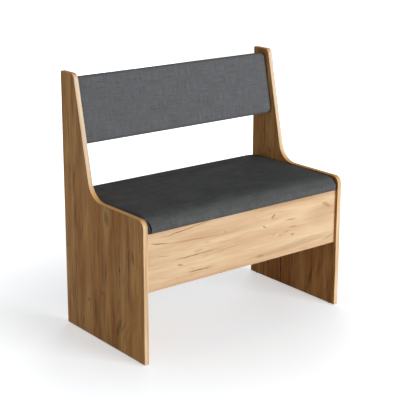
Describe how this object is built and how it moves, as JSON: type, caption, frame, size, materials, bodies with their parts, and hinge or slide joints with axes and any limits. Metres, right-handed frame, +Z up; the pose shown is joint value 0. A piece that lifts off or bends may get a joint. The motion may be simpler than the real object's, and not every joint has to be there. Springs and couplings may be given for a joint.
{
  "type": "storage bench",
  "caption": "Storage bench with shaped oak-decor side panels, a raked padded backrest between them, and a padded seat that lifts as the hinged lid of the storage box.",
  "frame": {"origin": "on the floor, under the middle of the bench's outline", "axes": "+X along the seat, +Y from the seat's front edge to the back, +Z up"},
  "size_m": [0.84, 0.45, 0.87],
  "materials": {
    "oak_decor_board": "satin",
    "edge_band": "satin",
    "raw_chipboard": "matte",
    "beech": "matte",
    "backrest_fabric": "matte",
    "seat_fabric": "matte",
    "backing_cloth": "matte",
    "foam": "matte",
    "zinc_plated_steel": "satin",
    "cap_plastic": "satin",
    "rubber_pad": "matte",
    "glide_plastic": "matte"
  },
  "bodies": {
    "bench_frame": {"side_panel_left": "oak_decor_board", "side_panel_right": "oak_decor_board", "edge_band_left": "edge_band", "edge_band_right": "edge_band", "front_panel": "oak_decor_board", "rear_panel": "oak_decor_board", "floor_panel": "oak_decor_board", "dowels": "beech", "cam_bolts": "zinc_plated_steel", "cam_discs": "zinc_plated_steel", "cam_caps": "cap_plastic", "backrest_board": "raw_chipboard", "backrest_foam": "foam", "backrest_cover": "backrest_fabric", "backrest_backing": "backing_cloth", "backrest_staples": "zinc_plated_steel", "backrest_brackets": "zinc_plated_steel", "bracket_screws": "zinc_plated_steel", "hinge_left_fixed_leaf": "zinc_plated_steel", "hinge_right_fixed_leaf": "zinc_plated_steel", "hinge_left_pin": "zinc_plated_steel", "hinge_right_pin": "zinc_plated_steel", "hinge_fixed_screws": "zinc_plated_steel", "bumper_pads": "rubber_pad", "floor_glides": "glide_plastic"},
    "seat_lid": {"lid_board": "raw_chipboard", "seat_foam": "foam", "seat_cover": "seat_fabric", "lid_backing": "backing_cloth", "lid_staples": "zinc_plated_steel", "hinge_left_lid_leaf": "zinc_plated_steel", "hinge_right_lid_leaf": "zinc_plated_steel", "hinge_lid_screws": "zinc_plated_steel"}
  },
  "joints": [
    {"name": "lid_hinge", "type": "hinge", "parent": "bench_frame", "child": "seat_lid", "pos_m": [0, 0.1551, 0.4239], "axis": [-1, 0, 0], "range_deg": [0, 66]}
  ]
}
